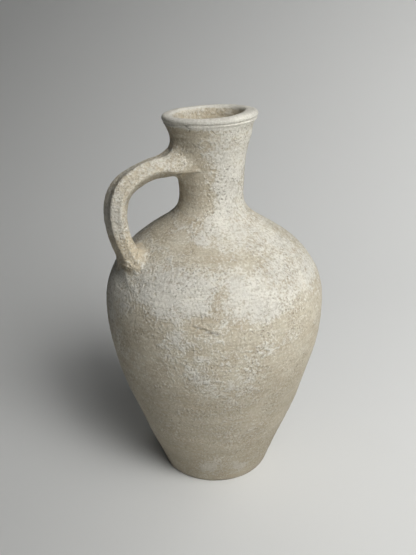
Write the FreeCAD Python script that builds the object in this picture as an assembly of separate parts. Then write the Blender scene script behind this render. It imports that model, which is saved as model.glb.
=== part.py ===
import FreeCAD, Part
import os
import math

os.makedirs("parts", exist_ok=True)
V = FreeCAD.Vector

# One-handled thrown clay jug.  Millimetres.  +Z up, origin at the centre of the foot's underside,
# the handle stands on the -X side.

# ---------------------------------------------------------------- driving dimensions
HEIGHT = 320.0            # foot underside to the top of the lip
Z_FOOT = 9.5              # joint foot_disc / lower_wall
Z_BELLY = 150.0           # joint lower_wall / shoulder_wall
Z_NECK = 238.0            # joint shoulder_wall / neck
Z_RIM = 303.0             # joint neck / rim
FLOOR_T = 9.5             # clay thickness of the floor
FLOOR_R = 33.0            # radius of the flat part of the floor
STRAP_W = 27.0            # strap width, across the handle's plane
# outside of the vessel: height, radius
OUTER = [(0.0, 45.6), (4.0, 47.2), (9.5, 49.2), (16.0, 51.7), (25.0, 55.3), (35.2, 59.4), (48.0, 64.4), (64.0, 70.4),
         (83.0, 77.3), (102.4, 83.2), (118.0, 87.2), (134.0, 90.3), (150.0, 92.1), (160.0, 92.4), (170.0, 91.8),
         (178.0, 90.2), (187.0, 87.2), (196.0, 82.3), (204.8, 75.9), (211.5, 69.2), (217.6, 61.6), (223.8, 52.9),
         (228.8, 45.4), (233.2, 38.9), (238.0, 33.1), (243.2, 29.2), (249.0, 27.0), (256.0, 26.4), (265.0, 26.9),
         (276.0, 27.9), (287.0, 29.3), (295.0, 31.0), (303.0, 33.1)]
# clay thickness, measured square to the outside surface: height, thickness
WALL = [(0.0, 9.0), (30.0, 8.6), (80.0, 7.6), (150.0, 7.0), (200.0, 6.8), (230.0, 7.2), (250.0, 7.0), (303.0, 6.6)]
# lip section: radius, height, from the neck's outside over the top to the neck's inside
LIP_OUT = [(33.1, 303.0), (34.3, 307.0), (35.7, 309.6), (37.3, 311.6), (38.1, 314.6), (37.7, 317.8), (35.9, 319.75), (34.2, 320.0)]
LIP_IN = [(34.2, 320.0), (32.2, 318.9), (30.9, 316.2), (29.4, 311.0)]

# handle: centreline in the XZ plane (distance from the axis, height), strap thickness and twist
H_LINE = [(24.9, 286.8), (36.7, 281.1), (48.1, 279.9), (62.4, 275.4), (75.0, 267.0), (81.1, 253.8), (81.5, 238.3),
          (78.0, 222.3), (71.6, 206.5)]
H_THICK = [(0.0, 21.0), (0.15, 17.5), (0.5, 15.4), (0.9, 14.4), (1.0, 14.4)]
H_TWIST = [(0.0, -4.0), (0.333, -11.0), (0.667, 3.0), (1.0, 8.0)]
U_TOP = 0.17              # joint handle_neck_joint / handle_strap, fraction along the centreline
U_LOW = 0.86              # joint handle_strap / handle_shoulder_joint


def lerp(table, x):
    for (a, b), (c, d) in zip(table, table[1:]):
        if x <= c:
            return b + (d - b) * (x - a) / (c - a)
    return table[-1][1]


def spline(points, start=None, end=None):
    c = Part.BSplineCurve()
    if start is None:
        c.interpolate(points)
    else:
        c.interpolate(Points=points, InitialTangent=start, FinalTangent=end)
    return c


def param_at_z(curve, z):
    lo, hi = curve.FirstParameter, curve.LastParameter
    up = curve.value(hi).z > curve.value(lo).z
    for _ in range(80):
        mid = (lo + hi) / 2
        if (curve.value(mid).z < z) == up:
            lo = mid
        else:
            hi = mid
    return (lo + hi) / 2


outer = spline([V(r, 0, z) for z, r in OUTER])


def outer_r(z):
    return outer.value(param_at_z(outer, z)).x


# inside of the vessel: the outside curve moved inwards by the wall thickness
inner_pts = []
steps = 44
for i in range(steps + 1):
    z = 15.0 + (303.0 - 15.0) * i / steps
    u = param_at_z(outer, z)
    p, t = outer.value(u), outer.tangent(u)[0]
    n = V(-t.z, 0, t.x)
    w = lerp(WALL, z)
    inner_pts.append(p + n * w)
inner_pts = [p for p in inner_pts if 19.0 < p.z < 299.0]
floor_bend = [V(FLOOR_R, 0, FLOOR_T), V(38.6, 0, 11.2), V(42.8, 0, 15.2)]
mouth = [V(26.7, 0, 303.0)]
inner = spline(floor_bend + inner_pts + mouth)


def edge(curve, z0, z1):
    a, b = param_at_z(curve, z0), param_at_z(curve, z1)
    return curve.toShape(min(a, b), max(a, b)), curve.value(a), curve.value(b)


def turned(edges):
    wire = Part.Wire(Part.__sortEdges__(edges))
    return Part.Face(wire).revolve(V(0, 0, 0), V(0, 0, 1), 360)


def line(a, b):
    return Part.LineSegment(a, b).toShape()


def ring(z0, z1):
    eo, o0, o1 = edge(outer, z0, z1)
    ei, i0, i1 = edge(inner, z0, z1)
    return turned([eo, line(o1, i1), ei, line(i0, o0)])


# ---------------------------------------------------------------- vessel
# foot disc: flat floor; its top carries the bend of the inside wall
eo, o0, o1 = edge(outer, 0.0, Z_FOOT)
foot = turned([line(V(0, 0, 0), o0), eo, line(o1, V(0, 0, Z_FOOT)), line(V(0, 0, Z_FOOT), V(0, 0, 0))])

# lower wall: starts on the foot disc, with the inside bend of the floor
eo, o0, o1 = edge(outer, Z_FOOT, Z_BELLY)
b = param_at_z(inner, Z_BELLY)
ei = inner.toShape(inner.FirstParameter, b)
i1 = inner.value(b)
lower = turned([eo, line(o1, i1), ei, line(V(FLOOR_R, 0, FLOOR_T), o0)])
shoulder = ring(Z_BELLY, Z_NECK)

eo, o0, o1 = edge(outer, Z_NECK, Z_RIM)
a = param_at_z(inner, Z_NECK)
ei = inner.toShape(a, inner.LastParameter)
i0, i1 = inner.value(a), inner.value(inner.LastParameter)
neck = turned([eo, line(o1, i1), ei, line(i0, o0)])

lip_out = spline([V(r, 0, z) for r, z in LIP_OUT], V(0.5, 0, 1.9), V(-1, 0, 0))
lip_in = spline([V(r, 0, z) for r, z in LIP_IN] + [V(i1.x, 0, Z_RIM)], V(-1, 0, 0), V(-0.3, 0, -1))
rim = turned([lip_out.toShape(), lip_in.toShape(), line(i1, V(33.1, 0, Z_RIM))])

# solid envelope of the outside, used to trim the handle's ends
eo, o0, o1 = edge(outer, 0.0, Z_RIM)
envelope = turned([line(V(0, 0, 0), o0), eo, line(o1, V(0, 0, Z_RIM)), line(V(0, 0, Z_RIM), V(0, 0, 0))])

# ---------------------------------------------------------------- handle
h_curve = spline([V(-r, 0, z) for r, z in H_LINE])
H0, H1 = h_curve.FirstParameter, h_curve.LastParameter


def station(u, width, thick, shift=0.0):
    """Closed rounded section of the strap, square to the centreline at fraction u.  shift moves it along the centreline's end tangent."""
    k = H0 + (H1 - H0) * min(max(u, 0.0), 1.0)
    p, t = h_curve.value(k), h_curve.tangent(k)[0]
    p = p + t * shift
    n = V(t.z, 0, -t.x)
    if n.x > 0 and 0.3 < u < 0.9:
        n = n * -1
    if u <= 0.3 and n.z < 0:
        n = n * -1
    if u >= 0.9 and n.x > 0:
        n = n * -1
    s = V(0, -1, 0)
    tw = math.radians(lerp(H_TWIST, min(max(u, 0.0), 1.0)))
    n, s = n * math.cos(tw) + s * math.sin(tw), s * math.cos(tw) - n * math.sin(tw)
    pts = []
    m = 20
    for i in range(m):
        a = 2 * math.pi * i / m
        c, q = math.cos(a), math.sin(a)
        e = 2 / 2.7
        x = math.copysign(abs(c) ** e, c) * thick / 2
        y = math.copysign(abs(q) ** e, q) * width / 2
        pts.append(p + n * x + s * y)
    bs = Part.BSplineCurve()
    bs.interpolate(Points=pts, PeriodicFlag=True)
    return Part.Wire([bs.toShape()])


def loft(wires):
    s = Part.makeLoft(wires, True, False)
    if s.Volume < 0:
        s.reverse()
    return s


strap = loft([station(U_TOP + (U_LOW - U_TOP) * i / 12, STRAP_W, lerp(H_THICK, U_TOP + (U_LOW - U_TOP) * i / 12)) for i in range(13)])
top_t = lerp(H_THICK, U_TOP)
neck_joint = loft([station(0.0, 33.0, 25.5, -4.0), station(0.0, 32.5, 24.5, 2.5), station(0.085, 29.0, 20.0), station(U_TOP, STRAP_W, top_t)])
low_t = lerp(H_THICK, U_LOW)
shoulder_joint = loft([station(U_LOW, STRAP_W, low_t), station(0.93, 30.5, 17.5), station(1.0, 37.0, 24.0), station(1.0, 40.0, 27.0, 6.0)])
neck_joint = neck_joint.cut(envelope)
shoulder_joint = shoulder_joint.cut(envelope)
strap = strap.cut(envelope)


def largest(shape):
    return max(shape.Solids, key=lambda s: s.Volume)


nodes = {
    "foot_disc": foot,
    "lower_wall": lower,
    "shoulder_wall": shoulder,
    "neck": neck,
    "rim": rim,
    "handle_strap": largest(strap),
    "handle_neck_joint": largest(neck_joint),
    "handle_shoulder_joint": largest(shoulder_joint),
}
for name, shape in nodes.items():
    solid = shape.Solids[0] if shape.ShapeType != "Solid" else shape
    if solid.Volume < 0:
        solid.reverse()
    b = solid.BoundBox
    print("%-22s vol %9.0f mm3  valid %s  solids %d  box x %.1f..%.1f y %.1f..%.1f z %.1f..%.1f" % (
        name, solid.Volume, solid.isValid(), len(shape.Solids), b.XMin, b.XMax, b.YMin, b.YMax, b.ZMin, b.ZMax))
    solid.exportStep("parts/%s.step" % name)
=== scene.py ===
import math
import bpy
import numpy as np
from mathutils import Matrix, Vector


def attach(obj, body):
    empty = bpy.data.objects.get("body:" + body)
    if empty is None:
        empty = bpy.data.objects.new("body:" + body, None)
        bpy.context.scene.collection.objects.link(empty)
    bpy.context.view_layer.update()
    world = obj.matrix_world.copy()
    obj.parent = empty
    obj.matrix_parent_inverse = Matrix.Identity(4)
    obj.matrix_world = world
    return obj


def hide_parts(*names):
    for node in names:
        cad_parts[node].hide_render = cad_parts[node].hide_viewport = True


# One-handled clay jug.  Lengths in this file are millimetres until a mesh is made; the row frame has its
# origin under the middle of the foot, +Z up, the handle on the -X side.

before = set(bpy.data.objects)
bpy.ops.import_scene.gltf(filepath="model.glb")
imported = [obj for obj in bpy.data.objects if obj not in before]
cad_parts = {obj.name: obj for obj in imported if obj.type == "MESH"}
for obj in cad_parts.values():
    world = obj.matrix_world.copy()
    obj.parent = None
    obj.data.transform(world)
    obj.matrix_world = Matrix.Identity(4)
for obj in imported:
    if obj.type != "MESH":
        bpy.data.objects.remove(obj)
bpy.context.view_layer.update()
TAU = 2 * math.pi
rng = np.random.default_rng(20742)

# ------------------------------------------------------------------------------------------ small tools


def smooth(a, b, x):
    t = np.clip((np.asarray(x, float) - a) / (b - a), 0, 1)
    return t * t * (3 - 2 * t)


def gauss(x, s):
    return np.exp(-0.5 * (np.asarray(x, float) / s) ** 2)


def wrap(a):
    """Angle difference into -pi..pi."""
    return (np.asarray(a) + math.pi) % TAU - math.pi


def spline(t, y):
    """Natural cubic spline through y (n by k) at t; gives a function."""
    t, y = np.asarray(t, float), np.asarray(y, float)
    if y.ndim == 1:
        y = y[:, None]
    n = len(t)
    h = np.diff(t)
    a = np.eye(n)
    b = np.zeros((n, y.shape[1]))
    for i in range(1, n - 1):
        a[i, i - 1], a[i, i], a[i, i + 1] = h[i - 1], 2 * (h[i - 1] + h[i]), h[i]
        b[i] = 6 * ((y[i + 1] - y[i]) / h[i] - (y[i] - y[i - 1]) / h[i - 1])
    m = np.linalg.solve(a, b)

    def f(x, d=0):
        x = np.asarray(x, float)
        i = np.clip(np.searchsorted(t, x) - 1, 0, n - 2)
        u, w = (x - t[i])[..., None], (t[i + 1] - x)[..., None]
        hh = h[i][..., None]
        c1, c2 = y[i + 1] / hh - m[i + 1] * hh / 6, y[i] / hh - m[i] * hh / 6
        if d == 0:
            return m[i] * w**3 / (6 * hh) + m[i + 1] * u**3 / (6 * hh) + c1 * u + c2 * w
        return -m[i] * w**2 / (2 * hh) + m[i + 1] * u**2 / (2 * hh) + c1 - c2

    return f


LATTICE = rng.random((64, 64, 64)).astype(np.float32) * 2 - 1


def noise(p, size, seed=0):
    """Smooth value noise, about -1..1, with lumps about `size` mm across."""
    q = p / size + np.array([seed * 7.31 + 11.7, seed * 3.17 + 5.1, seed * 5.77 + 2.3])
    i = np.floor(q).astype(int)
    f = q - i
    f = f * f * f * (f * (f * 6 - 15) + 10)
    i &= 63
    j = (i + 1) & 63
    x0, y0, z0, x1, y1, z1 = i[:, 0], i[:, 1], i[:, 2], j[:, 0], j[:, 1], j[:, 2]
    u, v, w = f.T
    L = LATTICE
    a = L[x0, y0, z0] * (1 - u) + L[x1, y0, z0] * u
    b = L[x0, y1, z0] * (1 - u) + L[x1, y1, z0] * u
    c = L[x0, y0, z1] * (1 - u) + L[x1, y0, z1] * u
    d = L[x0, y1, z1] * (1 - u) + L[x1, y1, z1] * u
    return (a * (1 - v) + b * v) * (1 - w) + (c * (1 - v) + d * v) * w


# ------------------------------------------------------------------------------------------ vessel profile
OUTER = [(0.0, 45.6), (4.0, 47.2), (9.5, 49.2), (16.0, 51.7), (25.0, 55.3), (35.2, 59.4), (48.0, 64.4), (64.0, 70.4),
         (83.0, 77.3), (102.4, 83.2), (118.0, 87.2), (134.0, 90.3), (150.0, 92.1), (160.0, 92.4), (170.0, 91.8),
         (178.0, 90.2), (187.0, 87.2), (196.0, 82.3), (204.8, 75.9), (211.5, 69.2), (217.6, 61.6), (223.8, 52.9),
         (228.8, 45.4), (233.2, 38.9), (238.0, 33.1), (243.2, 29.2), (249.0, 27.0), (256.0, 26.4), (265.0, 26.9),
         (276.0, 27.9), (287.0, 29.3), (295.0, 31.0), (303.0, 33.1)]
WALL = [(0.0, 9.0), (30.0, 8.6), (80.0, 7.6), (150.0, 7.0), (200.0, 6.8), (230.0, 7.2), (250.0, 7.0), (303.0, 6.6)]
LIP = [(34.4, 307.0), (35.5, 310.0), (36.1, 311.8), (36.45, 312.7), (36.9, 313.15), (37.2, 313.8), (37.25, 314.5),
       (37.0, 315.05), (37.4, 315.45), (37.95, 316.1), (38.3, 317.1), (38.15, 318.2), (37.45, 319.2), (36.2, 319.85),
       (34.7, 320.0), (33.2, 319.75), (32.2, 319.15), (31.6, 318.3), (31.2, 317.0), (31.0, 314.8), (30.7, 311.6),
       (29.5, 307.4), (26.7, 303.0)]
FLOOR = 9.5
FLOOR_R = 33.0
SEAMS = {"foot": 9.5, "belly": 150.0, "neck": 238.0, "rim": 303.0}

out_pts = np.array([(r, z) for z, r in OUTER])
chord = np.r_[0, np.cumsum(np.hypot(*np.diff(out_pts, axis=0).T))]
outer_curve = spline(chord, out_pts)
dense = outer_curve(np.linspace(0, chord[-1], 4000))
dense_t = outer_curve(np.linspace(0, chord[-1], 4000), 1)
dense_t /= np.hypot(*dense_t.T)[:, None]


def r_out(z):
    return np.interp(z, dense[:, 1], dense[:, 0])


def slope_out(z):
    """Unit tangent (dr, dz) going up."""
    return np.stack([np.interp(z, dense[:, 1], dense_t[:, 0]), np.interp(z, dense[:, 1], dense_t[:, 1])], -1)


# inside wall, from the lip down to the floor
zi = np.linspace(297, 15, 44)
ti = slope_out(zi)
th = np.interp(zi, *np.array(WALL).T)
ins = np.stack([r_out(zi) - ti[:, 1] * th, zi + ti[:, 0] * th], -1)
ins = ins[(ins[:, 1] > 19) & (ins[:, 1] < 297)]
bend = np.array([(42.8, 15.2), (38.6, 11.2), (FLOOR_R, FLOOR)])
lip_in_end = np.array([LIP[-1]])
upper = np.vstack([dense[-60:-1:12], np.array([(33.1, 303.0)]), np.array(LIP)[:-1]])


def chain(points):
    p = np.asarray(points, float)
    c = np.r_[0, np.cumsum(np.hypot(*np.diff(p, axis=0).T))]
    f = spline(c, p)
    return f(np.linspace(0, c[-1], int(c[-1] * 12)))


lip_line = chain(np.vstack([dense[-400:-1:80], np.array([(33.1, 303.0)]), np.array(LIP), ins[:2]]))
in_line = chain(np.vstack([np.array([LIP[-1]]), ins, bend]))


def cut(line, z0, z1, falling=False):
    z = line[:, 1]
    keep = (z < z0 - 1e-6) & (z > z1 + 1e-6) if falling else (z > z0 + 1e-6) & (z < z1 - 1e-6)
    inside = line[keep]
    o = line if not falling else line[::-1]
    a = np.array([np.interp(z0, o[:, 1], o[:, 0]), z0])
    b = np.array([np.interp(z1, o[:, 1], o[:, 0]), z1])
    return np.vstack([a, inside, b])


def resample(line, step):
    s = np.r_[0, np.cumsum(np.hypot(*np.diff(line, axis=0).T))]
    n = max(2, int(round(s[-1] / step)) + 1)
    q = np.linspace(0, s[-1], n)
    return np.stack([np.interp(q, s, line[:, 0]), np.interp(q, s, line[:, 1])], -1)


# underside: a shallow hollow cut by the wire, and a worn ring that carries the jug
under = chain([(0.4, 1.5), (12.0, 1.45), (24.0, 1.25), (34.0, 0.85), (40.0, 0.4), (43.0, 0.1), (44.3, 0.0), (45.2, 0.35), (45.95, 1.25), (46.55, 2.4)])
foot_side = cut(dense, 2.4, SEAMS["foot"])
foot_side[0] = under[-1]
lip_rise = lip_line[: np.argmax(lip_line[:, 1]) + 1]
lip_fall = lip_line[np.argmax(lip_line[:, 1]):]
i0 = np.searchsorted(lip_rise[:, 1], SEAMS["rim"])
rim_line = np.vstack([[(33.1, 303.0)], lip_rise[i0 + 1:], lip_fall[1:][lip_fall[1:, 1] > 303.0 + 1e-3], [(26.7, 303.0)]])
inn = in_line
segments = [
    ("under", resample(under, 1.3)),
    ("foot", resample(foot_side, 0.9)),
    ("lower", resample(cut(dense, SEAMS["foot"], SEAMS["belly"]), 1.27)),
    ("shoulder", resample(cut(dense, SEAMS["belly"], SEAMS["neck"]), 1.02)),
    ("neck", resample(cut(dense, SEAMS["neck"], SEAMS["rim"]), 0.62)),
    ("rim", resample(rim_line, 0.31)),
    ("in_neck", resample(cut(inn, SEAMS["rim"], SEAMS["neck"], True), 1.0)),
    ("in_shoulder", resample(cut(inn, SEAMS["neck"], SEAMS["belly"], True), 2.2)),
    ("in_lower", resample(np.vstack([cut(inn, SEAMS["belly"], 15.5, True)[:-1], inn[inn[:, 1] <= 15.5]]), 2.6)),
    ("floor", resample(np.array([(FLOOR_R, FLOOR), (0.4, FLOOR)]), 1.6)),
]
rows, part_rows = [], {}
for name, pts in segments:
    if rows:
        pts = pts[1:]
        first = len(rows) - 1
    else:
        first = 0
    rows.extend(pts)
    part_rows[name] = (first, len(rows) - 1)
rows = np.array(rows)
NR, NT = len(rows), 560
tan = np.gradient(rows, axis=0)
tan /= np.maximum(np.hypot(*tan.T), 1e-9)[:, None]
nrm = np.stack([tan[:, 1], -tan[:, 0]], -1)
theta = np.arange(NT) * TAU / NT

R = np.repeat(rows[:, 0][:, None], NT, 1)
Z = np.repeat(rows[:, 1][:, None], NT, 1)
TH = np.repeat(theta[None, :], NR, 0)
N_R = np.repeat(nrm[:, 0][:, None], NT, 1)
N_Z = np.repeat(nrm[:, 1][:, None], NT, 1)
row_is = np.empty(NR, object)
for name, (a, b) in part_rows.items():
    row_is[a:b + 1] = name
outside = np.isin(row_is, ["under", "foot", "lower", "shoulder", "neck", "rim"])
inside = ~outside

# ------------------------------------------------------------------------------------------ handle line
H_LINE = np.array([(24.9, 286.8), (36.7, 281.1), (48.1, 279.9), (62.4, 275.4), (75.0, 267.0), (81.1, 253.8),
                   (81.5, 238.3), (78.0, 222.3), (71.6, 206.5)])
H_THICK = np.array([(0.0, 20.4), (0.15, 17.0), (0.5, 15.2), (0.9, 13.6), (1.0, 13.2)])
H_TWIST = np.array([(0.0, -4.2), (0.333, -11.8), (0.667, 3.1), (1.0, 8.6)])
STRAP_W = 27.3
H_WIDTH = np.array([(0.0, 13.9), (0.8, 13.7), (0.88, 14.6), (0.95, 16.8), (1.0, 18.6)])      # half width of the strap
H_EDGE = np.array([(0.0, 0.45), (0.35, 0.47), (0.55, 0.60), (0.8, 0.60), (0.9, 0.60), (1.0, 0.62)])    # where its outer ridges run
H_UNDER = np.array([(0.0, 0.34), (0.3, 0.36), (0.5, 0.56), (1.0, 0.74)])                               # half width of its inner face
H_SIDE = np.array([(0.0, 0.16), (0.3, 0.16), (0.42, 0.13), (0.55, 0.06), (1.0, 0.04)])                  # how far in its widest line lies
SOFT = 12.0                                                                                    # how crisp those ridges are
h_curve = spline(np.linspace(0, 1, 9), H_LINE)


def handle_frames(u):
    """Centre, tangent, outward normal and width direction (toward -Y) at u; beyond 0..1 the line runs on straight."""
    uc = np.clip(u, 0, 1)
    c, t = h_curve(uc), h_curve(uc, 1)
    c = c + t * (u - uc)[:, None]
    t = t / np.hypot(*t.T)[:, None]
    C = np.stack([-c[:, 0], np.zeros(len(u)), c[:, 1]], -1)
    T = np.stack([-t[:, 0], np.zeros(len(u)), t[:, 1]], -1)
    N = np.stack([t[:, 1], np.zeros(len(u)), t[:, 0]], -1)
    B = np.tile(np.array([0.0, -1.0, 0.0]), (len(u), 1))
    tw = np.radians(np.interp(uc, *H_TWIST.T))[:, None]
    N, B = N * np.cos(tw) + B * np.sin(tw), B * np.cos(tw) - N * np.sin(tw)
    return C, T, N, B


def half_axes(u):
    uc = np.clip(u, 0, 1)
    shape = np.stack([np.interp(uc, *H_EDGE.T), np.interp(uc, *H_UNDER.T), np.interp(uc, *H_SIDE.T)], -1)
    return np.interp(uc, *H_THICK.T) / 2, np.interp(uc, *H_WIDTH.T), shape


def section_size(n, t, a, b, e):
    """1 on the strap's outline: flat outer face between two ridges, two sloping flats on each side, flat inner face."""
    v0, v1, v2 = (0.96 * a, e[..., 0] * b), (-e[..., 2] * a, b), (-0.97 * a, e[..., 1] * b)
    t = np.sqrt(t * t + 0.09)
    rho, gn, gt = 0, 0, 0
    planes = [(np.ones_like(a), np.zeros_like(a), v0[0]), (-np.ones_like(a), np.zeros_like(a), -v2[0])]
    for p0, p1 in ((v0, v1), (v1, v2)):
        en, et = p1[0] - p0[0], p1[1] - p0[1]
        ln = np.hypot(en, et)
        nn, nt = et / ln, -en / ln
        planes.append((nn, nt, p0[0] * nn + p0[1] * nt))
    for nn, nt, dd in planes:
        dd = dd * 1.03
        s_ = np.maximum((n * nn + t * nt) / dd, 0)
        rho = rho + s_**SOFT
        gn = gn + s_ ** (SOFT - 1) * nn / dd
        gt = gt + s_ ** (SOFT - 1) * nt / dd
    rho = np.maximum(rho, 1e-12) ** (1 / SOFT)
    k_ = rho ** (1 - SOFT)
    return rho, np.hypot(gn * k_, gt * k_)


def section_distance(n, t, a, b, e):
    """About the distance from the strap's outline."""
    rho, g = section_size(n, t, a, b, e)
    return (rho - 1) / np.maximum(g, 0.02)


HU = np.linspace(-0.08, 1.1, 240)
HC, HT, HN, HB = handle_frames(HU)
HA, HBB, HE = half_axes(HU)


def handle_distance(p):
    out = np.full(len(p), 99.0)
    near = (p[:, 0] < -12) & (np.abs(p[:, 1]) < 40) & (p[:, 2] > 180) & (p[:, 2] < 315)
    q = p[near]
    best = np.empty(len(q), int)
    for i in range(0, len(q), 4000):
        d = ((q[i:i + 4000, None, :] - HC[None]) ** 2).sum(-1)
        best[i:i + 4000] = d.argmin(1)
    v = q - HC[best]
    out[near] = section_distance((v * HN[best]).sum(1), (v * HB[best]).sum(1), HA[best], HBB[best], HE[best])
    return out


# ------------------------------------------------------------------------------------------ hand-made bumps of the vessel
def alpha_of(th):
    """Angle round the jug from the handle, positive toward -Y, in degrees."""
    return np.degrees(wrap(th - math.pi))


def in_patch(y, z, pts, soft):
    """0 outside, 1 inside a convex patch whose edges have their own softness."""
    v = np.ones(np.broadcast(y, z).shape)
    n = len(pts)
    for i in range(n):
        (y0, z0), (y1, z1) = pts[i], pts[(i + 1) % n]
        ln = math.hypot(y1 - y0, z1 - z0)
        dist = ((z - z0) * (y1 - y0) - (y - y0) * (z1 - z0)) / ln
        v = v * smooth(-soft[i], soft[i], dist)
    return v


def streak(y, z, pts, heights, width):
    """A dragged ridge of clay along a line of (y, z) points."""
    best = np.full(np.broadcast(y, z).shape, 99.0)
    h = np.zeros(best.shape)
    for i in range(len(pts) - 1):
        (y0, z0), (y1, z1) = pts[i], pts[i + 1]
        dy, dz = y1 - y0, z1 - z0
        t = np.clip(((y - y0) * dy + (z - z0) * dz) / (dy * dy + dz * dz), 0, 1)
        d = np.hypot(y - y0 - t * dy, z - z0 - t * dz)
        near = d < best
        best = np.where(near, d, best)
        h = np.where(near, heights[i] + t * (heights[i + 1] - heights[i]), h)
    return h * gauss(best, width)


PAD = [(20.0, 208.0), (18.0, 213.5), (9.0, 217.0), (-2.0, 217.3), (-14.0, 215.0), (-21.0, 210.5), (-23.5, 205.5), (-20.0, 203.6), (5.0, 204.4), (18.0, 205.2)]
PAD_SOFT = [1.5, 1.0, 0.8, 0.8, 1.0, 2.0, 1.6, 1.3, 1.3, 1.6]


def bump_out(th, z):
    """Clay added to the outside near the handle, in mm along the surface normal."""
    al = alpha_of(th)
    b = np.zeros(np.broadcast(al, z).shape)
    # webs from the strap's flanks to the neck: flat clay that meets the neck in a slanting crease, crisp below
    for side, reach, gain in ((1, 1.0, 1.0), (-1, 0.82, 0.85)):
        s = al * side
        touch = np.radians(np.interp(z, [274.0, 280.5, 283.8, 286.9, 292.0, 296.3, 299.5], [61.0, 60.0, 57.0, 51.0, 36.0, 19.0, 4.0]) * reach)
        rn = r_out(z)
        x2 = np.clip(24.0 + (296.5 - z) / 0.62, 25.0, 38.5)
        y2 = np.interp(z, [276, 279.5, 284, 288, 291, 297], [12.2, 12.6, 9.4, 6.6, 5.6, 3.5])
        x1, y1 = rn * np.cos(touch), rn * np.sin(touch)
        sa = np.radians(np.clip(s, 0, 89))
        # the chord from the strap's corner to the touching point, seen from above
        ex, ey = x2 - x1, y2 - y1
        den = ex * np.sin(sa) - ey * np.cos(sa)
        chord_r = (ex * y1 - ey * x1) / np.where(np.abs(den) < 1e-6, 1e-6, den)
        chord_r = np.where(den < 1e-3, 99.0, chord_r)
        cap_r = x2 / np.maximum(np.cos(sa), 0.05)
        h = np.minimum(chord_r, cap_r) - rn
        h = np.where(np.degrees(touch) > s, np.clip(h, 0, 9.0), 0) * (0.25 * smooth(0.0, 1.5, np.degrees(touch) - s) + 0.75 * smooth(-1.0, 20.0, np.degrees(touch) - s))
        h = h * smooth(-6.0, 8.0, s)
        low = np.interp(s, [0, 10, 30, 50, 60], [279.0, 278.8, 278.4, 278.6, 279.5])
        h = h * smooth(-0.7, 0.7, z - low) * (s >= 0)
        b = np.maximum(b, h * gain)
    # the strap's lower end pressed on to the shoulder and dragged down and round
    x, y = r_out(z) * np.cos(th), r_out(z) * np.sin(th)
    on = (x < 0) & (z > 180) & (z < 232)
    pad = in_patch(y, z, PAD, PAD_SOFT) * (1.25 + 2.6 * smooth(-21, -12, y) * smooth(0, 8, -y) * smooth(218, 211, z))
    pad = pad + streak(y, z, [(8.0, 206.4), (-1.0, 206.2), (-8.0, 206.0), (-14.0, 205.0), (-20.0, 203.4), (-25.0, 201.0)], [1.6, 2.0, 2.0, 1.8, 1.1, 0.0], 1.5)
    pad = pad + streak(y, z, [(6.0, 203.0), (0.0, 201.0), (-8.0, 198.4), (-16.0, 196.0), (-24.0, 194.2), (-33.0, 192.4)], [0.4, 1.0, 1.0, 0.9, 0.8, 0.0], 1.9)
    pad = pad + streak(y, z, [(16.0, 206.0), (12.0, 200.0), (6.0, 194.0)], [0.6, 0.6, 0.0], 2.2)
    return np.where(on, b + pad, b)


LEAN_RIGHT = np.array([(0, .2), (15, .1), (31, -.4), (43, -.3), (57, 0), (71, .3), (81, -.4), (92, -.95), (103, -.9), (116, -.3), (130, 0),
                       (150, .15), (170, .25), (183, .1), (192, -.35), (200, -.45), (206, -1.0), (213, -1.6), (219, -2.3), (225, -2.9),
                       (231, -2.6), (236, -2.0), (241, -1.6), (246, -1.2), (251, -.65), (257, -.25), (265, -.15), (273, -.4), (281, -.7),
                       (288, -.55), (294, -.3), (302, 0), (320, 0)], float).T
LEAN_LEFT = np.array([(0, -.3), (6, -.4), (13, -.1), (28, .2), (40, 0), (50, -.8), (63, -1.3), (75, -1.2), (84, -.95), (95, -.5), (106, -.3),
                      (113, -.4), (119, -.9), (126, -1.0), (134, -.8), (146, -.6), (160, -.6), (177, -.45), (189, -.6), (197, -.9),
                      (207, -1.15), (213, -1.1), (219, -.6), (227, -.5), (234, -.65), (243, -.5), (251, -.1), (261, 0), (288, 0),
                      (298, -1.4), (302, -.7), (307, -.3), (316, 0), (320, 0)], float).T


def wobble(th, z):
    """The hand-thrown body's slow out-of-round, in mm along the radius."""
    w = 0.45 * np.cos(th - 5.6) * smooth(60, 150, z) * (1 - smooth(200, 250, z))
    w = w + 0.35 * np.cos(2 * th - 1.1 + z / 60.0) * smooth(20, 80, z)
    w = w + 0.18 * np.cos(3 * th + 0.7 + z / 35.0)
    w = w + np.interp(z, *LEAN_RIGHT) * gauss(wrap(th + 0.6), 0.8) + np.interp(z, *LEAN_LEFT) * gauss(wrap(th - 2.85), 0.65)
    return w


def vessel_distance(p):
    r = np.hypot(p[:, 0], p[:, 1])
    th = np.arctan2(p[:, 1], p[:, 0])
    s = slope_out(p[:, 2])
    return (r - r_out(p[:, 2]) - wobble(th, p[:, 2])) * np.clip(s[:, 1], 0.3, 1) - bump_out(th, p[:, 2])


def blend_k(p):
    """Size of the fillet: larger on the shoulder than at the neck."""
    return np.where(p[:, 2] > 245, 11.0, 9.0)


def union(dv, dh, k):
    h = np.maximum(k - np.abs(dv - dh), 0)
    return np.minimum(dv, dh) - h * h / (4 * k)


def point(r, th, z):
    return np.stack([r * np.cos(th), r * np.sin(th), z], -1)


# vessel base position with bumps
B0 = np.zeros_like(R)
mask_rows = np.isin(row_is, ["shoulder", "neck"])
B0[mask_rows] = bump_out(TH[mask_rows], Z[mask_rows])
W0 = wobble(TH, Z) * np.clip(R / 45.0, 0, 1) * smooth(0.0, 6.0, Z)
P0 = point(R + W0 + N_R * B0, TH, Z + N_Z * B0)
NV = point(N_R, TH, N_Z)

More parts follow.
